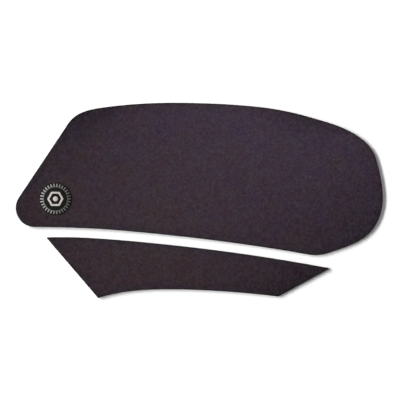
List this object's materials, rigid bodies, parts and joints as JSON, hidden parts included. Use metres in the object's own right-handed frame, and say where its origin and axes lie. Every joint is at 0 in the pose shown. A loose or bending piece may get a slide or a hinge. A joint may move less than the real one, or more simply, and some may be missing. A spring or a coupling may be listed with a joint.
{
  "type": "tank grip",
  "caption": "Flat stick-on motorcycle tank grip in grained black rubber: a large rounded knee pad with a round badge and a narrow matching lower pad.",
  "frame": {"origin": "centre of the footprint of both pads, on the surface that the release liners lie on", "axes": "+X from the pads' nose to their tail, +Y up the tank's side, from the lower pad to the upper one, +Z out of the grip face"},
  "size_m": [0.275, 0.1462, 0.0023],
  "materials": {
    "grip_rubber": "matt, fine pebble grain",
    "adhesive": "clear acrylic film, slightly milky",
    "liner": "smooth siliconed paper",
    "badge_ground": "satin black print film",
    "badge_print": "satin pale print"
  },
  "bodies": {
    "root": {"upper_liner": "liner", "upper_adhesive": "adhesive", "upper_grip_sheet": "grip_rubber", "lower_liner": "liner", "lower_adhesive": "adhesive", "lower_grip_sheet": "grip_rubber", "badge_disc": "badge_ground", "badge_dot": "badge_print", "badge_hexagon": "badge_print", "badge_tick_ring": "badge_print"}
  },
  "joints": []
}
